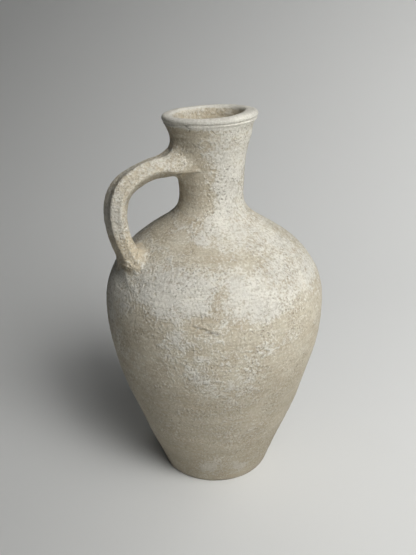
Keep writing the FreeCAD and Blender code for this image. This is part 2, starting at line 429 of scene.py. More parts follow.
# fillet round the handle's roots
sel = mask_rows[:, None] & (np.abs(alpha_of(TH)) < 75) & (Z > 185) & (Z < 303)
p = P0[sel]
nv = NV[sel]
k = blend_k(p)
h0 = handle_distance(p)
lift = np.zeros(len(p))
live = h0 < k
idx = np.nonzero(live)[0]
q, n_, kk = p[idx], nv[idx], k[idx]
a = np.zeros(len(idx))
open_ = np.ones(len(idx), bool)
step = 0.2
for _ in range(40):
    hq = handle_distance(q + n_ * a[:, None])
    f = union(a, hq, kk)
    open_ &= f < 0
    limit = a < kk * 0.25 + 1.6
    open_ &= limit
    if not open_.any():
        break
    a[open_] += np.clip(-f[open_], 0.02, step)
lift[idx] = a
hq = np.full(len(p), 99.0)
hq[idx] = handle_distance(q + n_ * a[:, None])
past = np.maximum(k * 0.25 - hq, 0)
lift = np.where(past > 0, lift - 0.05 * past**2 - 0.5 * np.maximum(past - 1.2, 0) ** 1.5, lift)
lift = np.maximum(lift, -2.5)
LIFT = np.zeros_like(R)
LIFT[sel] = lift
P1 = P0 + NV * LIFT[..., None]

# ------------------------------------------------------------------------------------------ handle surface
U_TOP, U_LOW = 0.17, 0.86
NA = 168


def u_at(uc):
    return uc


arc_u = np.linspace(-0.05, 1.08, 800)
arc_c = handle_frames(arc_u)[0]
arc_s = np.r_[0, np.cumsum(np.linalg.norm(np.diff(arc_c, axis=0), axis=1))]


def u_rows(u0, u1, step):
    s0, s1 = np.interp([u0, u1], arc_u, arc_s)
    n = max(3, int(round((s1 - s0) / step)) + 1)
    return np.interp(np.linspace(s0, s1, n), arc_s, arc_u)


hu = np.concatenate([u_rows(-0.03, U_TOP, 0.5), u_rows(U_TOP, U_LOW, 0.6)[1:], u_rows(U_LOW, 1.06, 0.5)[1:]])
i_top = int(np.argmin(np.abs(hu - U_TOP)))
i_low = int(np.argmin(np.abs(hu - U_LOW)))
NH = len(hu)
C, T, N, Bv = handle_frames(hu)
ha, hb, he = half_axes(hu)
psi = np.arange(720) * TAU / 720
cs, sn = np.cos(psi)[None], np.sin(psi)[None]
size_ = section_size(cs + 0 * ha[:, None], sn + 0 * ha[:, None], ha[:, None] + 0 * cs, hb[:, None] + 0 * cs, he[:, None] + 0 * cs[..., None])[0]
for _ in range(3):
    size_ = section_size(cs / size_, sn / size_, ha[:, None] + 0 * cs, hb[:, None] + 0 * cs, he[:, None] + 0 * cs[..., None])[0] * size_
sec = np.stack([cs / size_, sn / size_], -1)
# equal steps along the outline rather than equal angles
sec = np.concatenate([sec, sec[:, :1]], 1)
seg = np.linalg.norm(np.diff(sec, axis=1), axis=-1)
cum = np.concatenate([np.zeros((NH, 1)), np.cumsum(seg, 1)], 1)
sec_even = np.empty((NH, NA, 2))
for i in range(NH):
    s = np.linspace(0, cum[i, -1], NA + 1)[:-1]
    sec_even[i, :, 0] = np.interp(s, cum[i], sec[i, :, 0])
    sec_even[i, :, 1] = np.interp(s, cum[i], sec[i, :, 1])
r0 = np.linalg.norm(sec_even, axis=-1)
dirs = sec_even / r0[..., None]
D3 = dirs[..., :1] * N[:, None, :] + dirs[..., 1:] * Bv[:, None, :]
Cg = np.repeat(C[:, None, :], NA, 1)
ag = np.repeat(ha[:, None], NA, 1)
bg = np.repeat(hb[:, None], NA, 1)
eg = np.repeat(he[:, None], NA, 1)
grow = np.zeros((NH, NA))
open_ = np.ones((NH, NA), bool)
for _ in range(60):
    rr = r0 + grow
    P = Cg + D3 * rr[..., None]
    dh = section_distance(dirs[..., 0] * rr, dirs[..., 1] * rr, ag, bg, eg)
    dv = vessel_distance(P.reshape(-1, 3)).reshape(NH, NA)
    kk = blend_k(P.reshape(-1, 3)).reshape(NH, NA)
    f = union(dv, dh, kk)
    open_ &= (f < -0.002) & (grow < kk * 0.25 + 1.8)
    if not open_.any():
        break
    grow[open_] += np.clip(-f[open_], 0.02, 0.2)
rr = r0 + grow
PH = Cg + D3 * rr[..., None]
dv = vessel_distance(PH.reshape(-1, 3)).reshape(NH, NA)
kk = blend_k(PH.reshape(-1, 3)).reshape(NH, NA)
past = np.maximum(kk * 0.25 - dv, 0)
rr = rr - 0.05 * np.minimum(past, 3) ** 2 - 0.35 * np.maximum(np.minimum(past, 5) - 1.2, 0) ** 1.5
PH = Cg + D3 * np.maximum(rr, r0 * 0.6)[..., None]

# ridges that the potter's fingers left along the strap
free = smooth(-0.5, 6.0, dv - kk * 0.25)
out_side = dirs[..., 0] > 0
tb = sec_even[..., 1] / hb[:, None]
nb = sec_even[..., 0] / ha[:, None]
ridge = np.where(nb > 0, 0.45 * gauss(np.abs(tb) - he[:, :1], 0.1) - 0.55 * gauss(tb, 0.24), 0)
ridge = ridge + 0.22 * gauss(nb - 0.10, 0.07) * (np.abs(tb) > 0.6)
ridge_amount = 0.35 + 0.65 * free
PH = PH + D3 * (ridge * ridge_amount * smooth(0.0, 0.05, hu)[:, None])[..., None]


# ------------------------------------------------------------------------------------------ normals, relief, mouth
def grid_normals(P, closed_u=True):
    """Vertex normals of a grid whose columns wrap round."""
    du = np.roll(P, -1, 1) - np.roll(P, 1, 1)
    dv_ = np.gradient(P, axis=0)
    n = np.cross(du, dv_)
    return n / np.maximum(np.linalg.norm(n, axis=-1), 1e-12)[..., None]


def relief(p, inner=False):
    """Fine hand-made relief, in mm, the same for every piece at the same place."""
    z = p[:, 2]
    th = np.arctan2(p[:, 1], p[:, 0])
    flat = p * np.array([1.0, 1.0, 2.2])
    d = 0.22 * noise(p, 26.0, 1) + 0.12 * noise(flat, 11.0, 2) + 0.07 * noise(flat, 4.5, 3) + 0.045 * noise(p, 2.3, 4)
    turn = z + th * 0.9
    d = d + 0.07 * np.sin(turn * TAU / 7.3 + 1.5 * noise(p, 40.0, 5)) * (0.4 + 0.6 * smooth(-0.4, 0.6, noise(p, 34.0, 6)))
    return d


def dent(p, c, radius, depth, sharp=2.0):
    d = np.linalg.norm(p - np.array(c), axis=1)
    return -depth * np.exp(-((d / radius) ** sharp))


def groove(p, a, b, width, depth):
    a, b = np.array(a, float), np.array(b, float)
    ab = b - a
    t = np.clip(((p - a) @ ab) / (ab @ ab), 0, 1)
    d = np.linalg.norm(p - a - t[:, None] * ab, axis=1)
    taper = np.sqrt(np.clip(np.minimum(t, 1 - t) * 8, 0.02, 1))
    return -depth * taper * np.exp(-((d / (width * (0.45 + 0.55 * taper))) ** 2))


def world_xy(p):
    """x to the picture's right and y away from it, turned from the row frame."""
    a = math.radians(22.63)
    return p[:, 0] * math.cos(a) - p[:, 1] * math.sin(a), p[:, 0] * math.sin(a) + p[:, 1] * math.cos(a)


def warp(p):
    """The lip leans a little, and is pinched toward +X where it pours."""
    p = p.copy()
    s = smooth(298, 313, p[:, 2])
    xw, yw = world_xy(p)
    th = np.arctan2(p[:, 1], p[:, 0])
    r = np.hypot(p[:, 0], p[:, 1])
    p[:, 2] += s * (0.029 * xw - 0.045 * yw)
    inner = smooth(36.5, 32.5, r) * smooth(303, 317, p[:, 2])
    pull = inner * (3.2 * gauss(wrap(th + 0.395), 0.42) + 1.3 * gauss(wrap(th - 2.75), 0.5))
    pull = pull + inner * 2.6 * gauss(wrap(th + 1.0), 0.36) - 0.4 * gauss(p[:, 2] - 315.0, 0.8) * smooth(36.0, 36.8, r) * gauss(wrap(th + 0.75), 0.38)
    p[:, 2] += 0.8 * smooth(38.6, 34.5, r) * smooth(303, 317, p[:, 2]) * gauss(wrap(th + 0.95), 0.45)
    p[:, 0] -= pull * np.cos(th)
    p[:, 1] -= pull * np.sin(th)
    return p


NV1 = grid_normals(P1)
flatp = P1.reshape(-1, 3)
d = relief(flatp).reshape(NR, NT)
inner_amt = np.where(inside, 1.0, 0.0)[:, None]
rings = 0.45 * np.sin((Z + TH * 1.3) * TAU / 9.5) * smooth(16, 30, Z) * (1 - smooth(296, 312, Z))
d = d + inner_amt * rings
edge_fade = np.clip(R / 6.0, 0, 1)
d *= edge_fade
# marks
marks = (groove(flatp, (-50.1, -75.9, 175.4), (-40.0, -82.0, 173.6), 1.0, 1.3)
         + groove(flatp, (-41.5, -81.2, 173.0), (-31.0, -86.0, 170.3), 0.9, 1.2)
         - groove(flatp, (-50.1, -75.9, 177.2), (-40.0, -82.0, 175.4), 0.9, 0.5)
         - groove(flatp, (-41.5, -81.2, 174.8), (-31.0, -86.0, 172.1), 0.9, 0.45))
PITS = [((35.4, -41.5, 222.7), 1.0, 0.8), ((45.0, -60.4, 205.5), 1.0, 0.8), ((-15.0, -72.7, 206.7), 0.8, 0.6),
        ((-59.6, -15.9, 217.4), 1.3, 0.9), ((-35.4, -42.0, 222.4), 1.3, 0.6), ((-17.8, -75.1, 82.9), 0.9, 0.7),
        ((-46.5, -42.7, 44.7), 1.0, 0.7), ((-62.7, -44.4, 81.7), 1.2, 0.4), ((15.0, -44.1, 228.0), 0.8, 0.5),
        ((19.4, -65.6, 212.2), 0.8, 0.5), ((-27.4, -68.2, 207.5), 0.8, 0.5)]
for c, rad, dep in PITS:
    marks = marks + dent(flatp, c, rad * 1.1, dep * 1.4)


def on_lip(deg, z, r=37.6):
    return (r * math.cos(math.radians(deg)), r * math.sin(math.radians(deg)), z)


CRACK = [(on_lip(213.5, 318.0), on_lip(217.5, 316.2)), (on_lip(217.0, 316.4, 37.4), on_lip(222.0, 314.6, 37.0)),
         (on_lip(221.5, 314.9, 37.0), on_lip(222.5, 311.6, 36.2))]
for a_, b_ in CRACK:
    marks = marks + groove(flatp, a_, b_, 0.42, 1.0)
d = d + marks.reshape(NR, NT)
P2 = P1 + NV1 * d[..., None]
P2[:, :, 2] = np.where((Z < 0.9) & outside[:, None], np.maximum(P2[:, :, 2], 0.0), P2[:, :, 2])
P2 = warp(P2.reshape(-1, 3)).reshape(NR, NT, 3)
lo = P2[..., 2].min()
P2[part_rows["under"][0]:part_rows["foot"][1], :, 2] -= lo * (1 - smooth(0, 8, Z[part_rows["under"][0]:part_rows["foot"][1]]))

NH1 = grid_normals(PH)
if (NH1[NH // 2] * (PH[NH // 2] - C[NH // 2])).sum(-1).mean() < 0:
    NH1 = -NH1
dh_ = relief(PH.reshape(-1, 3)).reshape(NH, NA)
PH2 = PH + NH1 * dh_[..., None]
PH2 = warp(PH2.reshape(-1, 3)).reshape(NH, NA, 3)


# ------------------------------------------------------------------------------------------ meshes
def grid_faces(a, b, n, flip=False):
    """Quads between rows a and b of vertex rows laid out n per row; a, b are start indices."""
    j = np.arange(n)
    k_ = (j + 1) % n
    f = np.stack([a + j, a + k_, b + k_, b + j], -1)
    return f[:, ::-1] if flip else f


def make_piece(name, blocks, normals, caps, node, flip=False, centre=(), flat_ends=False):
    """blocks: list of (rows, n, 3) grids.  caps: pairs of (block, row, block, row) rings to join.  centre: (block, row) rings closed on a centre point."""
    verts, offs, nor = [], [], []
    count = 0
    for g, gn in zip(blocks, normals):
        offs.append(count)
        verts.append(g.reshape(-1, 3))
        nor.append(gn.reshape(-1, 3))
        count += g.shape[0] * g.shape[1]
    faces, hard = [], []
    n = blocks[0].shape[1]
    for g, o in zip(blocks, offs):
        for r in range(g.shape[0] - 1):
            faces.append(grid_faces(o + r * n, o + (r + 1) * n, n, flip))
            hard.append(np.zeros(n, bool))
    for (b0, r0_, b1, r1_) in caps:
        a_ = offs[b0] + (r0_ % blocks[b0].shape[0]) * n
        b_ = offs[b1] + (r1_ % blocks[b1].shape[0]) * n
        faces.append(grid_faces(a_, b_, n, flip))
        hard.append(np.ones(n, bool))
    quads = np.concatenate(faces)
    tris = []
    for (b0, r0_, start) in centre:
        a_ = offs[b0] + (r0_ % blocks[b0].shape[0]) * n
        ring = blocks[b0][r0_]
        verts.append(ring.mean(0)[None])
        nn = normals[b0][r0_].mean(0)
        nor.append((nn / np.linalg.norm(nn))[None])
        j = np.arange(n)
        k_ = (j + 1) % n
        t = np.stack([np.full(n, count), a_ + k_, a_ + j], -1) if start != flip else np.stack([np.full(n, count), a_ + j, a_ + k_], -1)
        tris.append(t)
        count += 1
    V_ = np.concatenate(verts) * 0.001
    NN = np.concatenate(nor)
    tris = np.concatenate(tris) if tris else np.zeros((0, 3), int)
    loops = np.concatenate([quads.ravel(), tris.ravel()]).astype(np.int32)
    starts = np.concatenate([np.arange(len(quads)) * 4, len(quads) * 4 + np.arange(len(tris)) * 3]).astype(np.int32)
    me = bpy.data.meshes.new(name)
    me.vertices.add(len(V_))
    me.vertices.foreach_set("co", V_.astype(np.float32).ravel())
    me.loops.add(len(loops))
    me.loops.foreach_set("vertex_index", loops)
    me.polygons.add(len(starts))
    me.polygons.foreach_set("loop_start", starts)
    me.update(calc_edges=True)
    me.validate()
    me.polygons.foreach_set("use_smooth", np.ones(len(starts), bool))
    # shading: surfaces take the normals of the whole jug, hidden joint faces are flat
    fn = np.zeros(len(me.polygons) * 3, np.float32)
    me.polygons.foreach_get("normal", fn)
    fn = fn.reshape(-1, 3)
    hard_f = np.concatenate(hard + [np.full(len(tris), flat_ends)])
    loop_n = NN[loops].astype(np.float32)
    totals = np.concatenate([np.full(len(quads), 4), np.full(len(tris), 3)])
    loop_hard = np.repeat(hard_f, totals)
    loop_face = np.repeat(np.arange(len(starts)), totals)
    loop_n[loop_hard] = fn[loop_face[loop_hard]]
    me.normals_split_custom_set(loop_n.tolist())
    ob = bpy.data.objects.new(name, me)
    bpy.context.scene.collection.objects.link(ob)
    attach(ob, "root")
    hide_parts(node)
    return ob


NV2 = grid_normals(P2)
check = (NV2[len(NV2) // 4] * NV[len(NV2) // 4]).sum(-1).mean()
if check < 0:
    NV2 = -NV2
NH2 = grid_normals(PH2)
if (NH2[NH // 2] * (PH2[NH // 2] - C[NH // 2])).sum(-1).mean() < 0:
    NH2 = -NH2


def rows_of(name):
    a_, b_ = part_rows[name]
    return P2[a_:b_ + 1], NV2[a_:b_ + 1]


def vessel_piece(name, outs, ins_, node, centre=()):
    blocks, normals = [], []
    for group in (outs, ins_):
        if not group:
            continue
        a_, b_ = part_rows[group[0]][0], part_rows[group[-1]][1]
        blocks.append(P2[a_:b_ + 1])
        normals.append(NV2[a_:b_ + 1])
    if len(blocks) == 1:
        caps = [(0, -1, 0, 0)]
    elif centre:
        caps = [(0, -1, 1, 0)]
    else:
        caps = [(0, -1, 1, 0), (1, -1, 0, 0)]
    return make_piece(name, blocks, normals, caps, node, centre=centre)


pieces = {}
pieces["foot"] = vessel_piece("jug_foot_disc", ["under", "foot"], ["floor"], "foot_disc", centre=((0, 0, True), (1, -1, False)))
pieces["lower"] = vessel_piece("jug_lower_wall", ["lower"], ["in_lower"], "lower_wall")
pieces["shoulder"] = vessel_piece("jug_shoulder_wall", ["shoulder"], ["in_shoulder"], "shoulder_wall")
pieces["neck"] = vessel_piece("jug_neck", ["neck"], ["in_neck"], "neck")
pieces["rim"] = vessel_piece("jug_rim", ["rim"], [], "rim")
for key, name, a_, b_, node in (("h_top", "jug_handle_neck_joint", 0, i_top, "handle_neck_joint"),
                                ("h_mid", "jug_handle_strap", i_top, i_low, "handle_strap"),
                                ("h_low", "jug_handle_shoulder_joint", i_low, NH - 1, "handle_shoulder_joint")):
    pieces[key] = make_piece(name, [PH2[a_:b_ + 1]], [NH2[a_:b_ + 1]], [], node, flip=True,
                             centre=((0, 0, True), (0, -1, False)), flat_ends=True)
for ob in pieces.values():
    v = np.zeros(len(ob.data.vertices) * 3, np.float32)
    ob.data.vertices.foreach_get("co", v)
    ob.data.calc_loop_triangles()
    t = np.zeros(len(ob.data.loop_triangles) * 3, np.int32)
    ob.data.loop_triangles.foreach_get("vertices", t)
    v = v.reshape(-1, 3).astype(float)
    t = t.reshape(-1, 3)
    vol = (v[t[:, 0]] * np.cross(v[t[:, 1]], v[t[:, 2]])).sum() / 6
    print("%-28s tris %6d  volume %8.1f cm3" % (ob.name, len(t), vol * 1e6))


# ------------------------------------------------------------------------------------------ material
# Slow changes of the surface are kept per vertex: how much lime sits on the clay, how dark and how yellow the clay is,
# and how rough the stipple is; lime and dark also carry painted light and shade.  The grain itself is made by the
# shader.
LIME = [((-2.6, -28.8, 284.0), 12, 24, 0.20), ((2.0, -27.0, 262.0), 11, 26, 0.32), ((8.0, -27.0, 258.0), 9, 16, 0.25),
        ((-8.6, -27.6, 244.0), 12, 9, 0.25), ((-26.5, -29.0, 233.0), 20, 8, 0.20), ((8.5, -37.4, 233.6), 16, 8, 0.20),
        ((-67.2, -51.6, 191.6), 20, 14, 0.35), ((-47.8, -59.8, 203.8), 18, 10, 0.35), ((-47.2, -73.3, 187.0), 8, 6, 0.80),
        ((-61.1, -69.3, 160.0), 14, 12, 0.50), ((-10.6, -78.5, 200.0), 16, 8, 0.32), ((4.1, -86.5, 188.0), 20, 9, 0.34),
        ((42.3, -41.4, 219.3), 16, 9, 0.35), ((59.0, -54.0, 199.2), 16, 11, 0.28), ((-40.9, -78.5, 124.6), 17, 15, 0.36),
        ((-14.2, -85.8, 117.4), 14, 10, 0.28), ((-26.8, -45.8, 19.3), 8, 5, 0.90), ((0.7, -52.9, 19.0), 11, 4, 0.60),
        ((-86.0, 20.0, 180.0), 30, 24, 0.20), ((40.0, 70.0, 196.0), 34, 18, 0.40), ((-30.0, 80.0, 150.0), 30, 26, 0.30),
        ((80.0, 30.0, 130.0), 26, 24, 0.25), ((10.0, 60.0, 60.0), 26, 14, 0.30)]
BARE = [((-29.4, -45.9, 222.6), 18, 6, 0.50), ((4.5, -64.4, 215.2), 24, 6, 0.30), ((-41.4, -78.8, 181.4), 9, 6, 0.80),
        ((18.0, -90.0, 169.7), 24, 9, 0.50), ((34.4, -70.5, 86.9), 20, 18, 0.60), ((27.0, -84.0, 110.0), 22, 22, 0.55),
        ((45.0, -78.0, 138.0), 20, 16, 0.60), ((42.0, -80.0, 170.0), 26, 12, 0.30), ((-30.6, -77.0, 195.0), 8, 6, 0.40),
        ((-75.3, -52.8, 166.5), 24, 6, 0.50), ((-16.6, -59.9, 42.4), 26, 5, 0.55), ((46.0, -46.0, 52.0), 14, 16, 0.45),
        ((-46.0, -38.0, 40.0), 16, 9, 0.30), ((-45.8, -3.0, 228.5), 14, 8, 0.55), ((-12.4, -91.3, 160.0), 20, 6, 0.30),
        ((-85.8, -34.0, 161.7), 14, 12, 0.35), ((-24.9, -19.0, 297.0), 17, 14, 0.45), ((-22.0, -16.0, 262.0), 14, 26, 0.50),
        ((70.0, 40.0, 170.0), 30, 12, 0.50), ((-50.0, 70.0, 110.0), 26, 16, 0.50), ((20.0, 80.0, 120.0), 22, 20, 0.40),
        ((-60.0, 30.0, 90.0), 24, 12, 0.40)]


def patches(p, table, wander):
    out = np.zeros(len(p))
    q = p + wander
    for c, rl, rz, k_ in table:
        e = q - np.array(c)
        out += k_ * np.exp(-((e[:, 0] ** 2 + e[:, 1] ** 2) / rl**2 + e[:, 2] ** 2 / rz**2))
    return out


def surface_maps(p, kind):
    """Lime, dark, yellow and stipple values for points in mm."""
    z = p[:, 2]
    th = np.arctan2(p[:, 1], p[:, 0])
    r = np.hypot(p[:, 0], p[:, 1])
    wander = np.stack([noise(p, 15.0, 21), noise(p, 15.0, 22), noise(p, 13.0, 23)], -1) * 6.0
    n1, n2, n3 = noise(p, 34.0, 31), noise(p, 15.0, 32), noise(p, 7.0, 33)
    band = noise(np.stack([th * 14, th * 0, z], -1), 6.0, 34)
    side = np.cos(th + 0.95)
    upper = smooth(128, 196, z + 16 * n1 + 11 * n2 + 6 * n3)
    # painted light and shade: a little more wash on the side toward the lamps, and on the neck more wash toward the
    # lamps and less on the side turned away
    lime = 0.30 + 0.25 * upper + 0.04 * smooth(0.2, 1.0, side) * upper
    lime = lime - 0.10 * smooth(232, 250, z) + 0.08 * smooth(236, 250, z) * smooth(0.2, 0.95, side) - 0.10 * smooth(236, 250, z) * smooth(0.3, -0.6, side)
    lime = lime + 0.13 * n1 + 0.12 * n2 + 0.10 * n3
    lime = lime + patches(p, LIME, wander) - patches(p, BARE, wander)
    dark = 0.50 * smooth(160, 90, z) + 0.30 * smooth(60, 8, z) + 0.14 * noise(p, 26.0, 35) + 0.10 * band * smooth(170, 60, z)
    dark = dark + 0.25 * patches(p, BARE, wander)
    # painted shade: the neck's side turned from the lamps is darkened
    dark = dark + 0.30 * smooth(0.2, -0.9, side) * smooth(232, 246, z) * smooth(306, 296, z)
    yellow = 0.35 + 0.2 * noise(p, 22.0, 36) + 0.3 * smooth(0.1, -0.9, side) * smooth(240, 250, z)
    stipple = 0.5 + 0.35 * noise(p, 20.0, 37) + 0.25 * noise(p, 9.0, 38) + 0.3 * smooth(0.0, -0.8, np.cos(th + 1.55)) * smooth(60, 120, z)
    if kind == "handle":
        lime = 0.58 + 0.16 * n2 + 0.12 * n3 + 0.25 * np.exp(-(((z - 252) / 16.0) ** 2)) * smooth(-78, -84, p[:, 0] + 0 * z) - 0.26 * smooth(236, 222, z)
        dark = 0.02 + 0.08 * noise(p, 12.0, 35)
        yellow = 0.75 + 0.25 * smooth(240, 222, z) + 0.2 * noise(p, 10.0, 36)
        stipple = 0.5 + 0.25 * smooth(244, 226, z)
        # painted shade: the inner face under the strap's upper branch is darkened
        at = np.concatenate([((p[i:i + 4000, None, :] - HC[None]) ** 2).sum(-1).argmin(1) for i in range(0, len(p), 4000)])
        deep = ((p - HC[at]) * HN[at]).sum(1) / HA[at]
        dark = dark + 0.75 * smooth(-0.25, -0.60, deep) * smooth(246, 262, z)
    if kind == "inside":
        lime = 0.30 + 0.15 * n2 + 0.1 * n3 + 0.35 * smooth(308, 317, z)
        # painted shade: the inside darkens with depth below the lip, most on the inner wall turned from the lamps
        dark = 0.18 + (0.62 + 0.5 * np.cos(th + 0.4)) * smooth(318.5, 304, z) + 0.12 * band
        yellow = 0.9 + 0 * z
        stipple = 0.3 + 0 * z
    near = np.zeros(len(p))
    if kind != "handle":
        # the same pale yellow slip lies round both roots of the handle
        hd = handle_distance(p)
        near = smooth(6.0, 0.5, hd + 2.0 * n3)
        near = np.maximum(near, in_patch(p[:, 1], z + 1.0 * n3, PAD, [1.6] * len(PAD)) * (p[:, 0] < 0) * (z > 196) * (z < 224))
        slip = 0.56 + 0.16 * n2 + 0.12 * n3 - 0.26 * smooth(236, 222, z)
        lime = lime * (1 - near) + slip * near
        dark = dark * (1 - near) + (0.03 + 0.08 * noise(p, 12.0, 35)) * near
        yellow = yellow * (1 - near) + 1.0 * near
        stipple = stipple * (1 - 0.4 * near)
    if kind == "outside":
        # the rolled lip is washed nearly white
        lip = smooth(311.8, 314.6, z)
        lime = lime * (1 - lip) + (1.0 + 0.18 * n3) * lip
        dark = dark * (1 - lip)
        yellow = yellow * (1 - 0.5 * lip)
        stipple = stipple * (1 - 0.6 * lip)
    return lime, dark, yellow, stipple


def set_maps(ob, p, kinds, hollow):
    vals = np.zeros((len(p), 4))
    for kind in np.unique(kinds):
        m_ = kinds == kind
        vals[m_] = np.stack(surface_maps(p[m_], kind), -1)
    for i, nm in enumerate(("lime", "dark", "yellow", "stipple")):
        at = ob.data.attributes.new(nm, "FLOAT", "POINT")
        at.data.foreach_set("value", vals[:, i].astype(np.float32))
    at = ob.data.attributes.new("hollow", "FLOAT", "POINT")
    at.data.foreach_set("value", hollow.astype(np.float32))


def vert_mm(ob):
    v = np.zeros(len(ob.data.vertices) * 3, np.float32)
    ob.data.vertices.foreach_get("co", v)
    return v.reshape(-1, 3).astype(float) * 1000


def marks_depth(p):
    """0..1 where a scratch, pit or crack has gone through the wash; the shader paints shade into it nearly black."""
    m_ = np.zeros(len(p))
    m_ = np.maximum(m_, -0.8 * groove(p, (-50.1, -75.9, 175.0), (-40.0, -82.0, 173.2), 0.7, 1.0))
    m_ = np.maximum(m_, -0.9 * groove(p, (-41.5, -81.2, 172.6), (-31.0, -86.0, 169.9), 0.6, 1.0))
    for c, rad, dep in PITS:
        m_ = np.maximum(m_, -dent(p, c, rad * 0.8, min(1.0, dep + 0.25)))
    for a_, b_ in CRACK:
        m_ = np.maximum(m_, -groove(p, a_, b_, 0.42, 1.0))
    return m_


for key_, ob in pieces.items():
    p_ = vert_mm(ob)
    if key_.startswith("h_"):
        kinds = np.full(len(p_), "handle", object)
        kinds = kinds.astype(str)
    elif key_ == "rim":
        rr_ = np.hypot(p_[:, 0], p_[:, 1])
        kinds = np.where(rr_ < 32.2 + (p_[:, 2] - 318) * 0.0, "inside", "outside")
        kinds = np.where(p_[:, 2] > 316.5, "outside", kinds)
        kinds = np.where((p_[:, 2] > 303.2) & (rr_ > 33.5), "outside", kinds)
    else:
        n_out = {"foot": ["under", "foot"], "lower": ["lower"], "shoulder": ["shoulder"], "neck": ["neck"]}[key_]
        count_out = (part_rows[n_out[-1]][1] - part_rows[n_out[0]][0] + 1) * NT
        kinds = np.where(np.arange(len(p_)) < count_out, "outside", "inside")
        if key_ == "foot":
            kinds[-2] = "outside"
    set_maps(ob, p_, kinds, np.clip(marks_depth(p_), 0, 1))


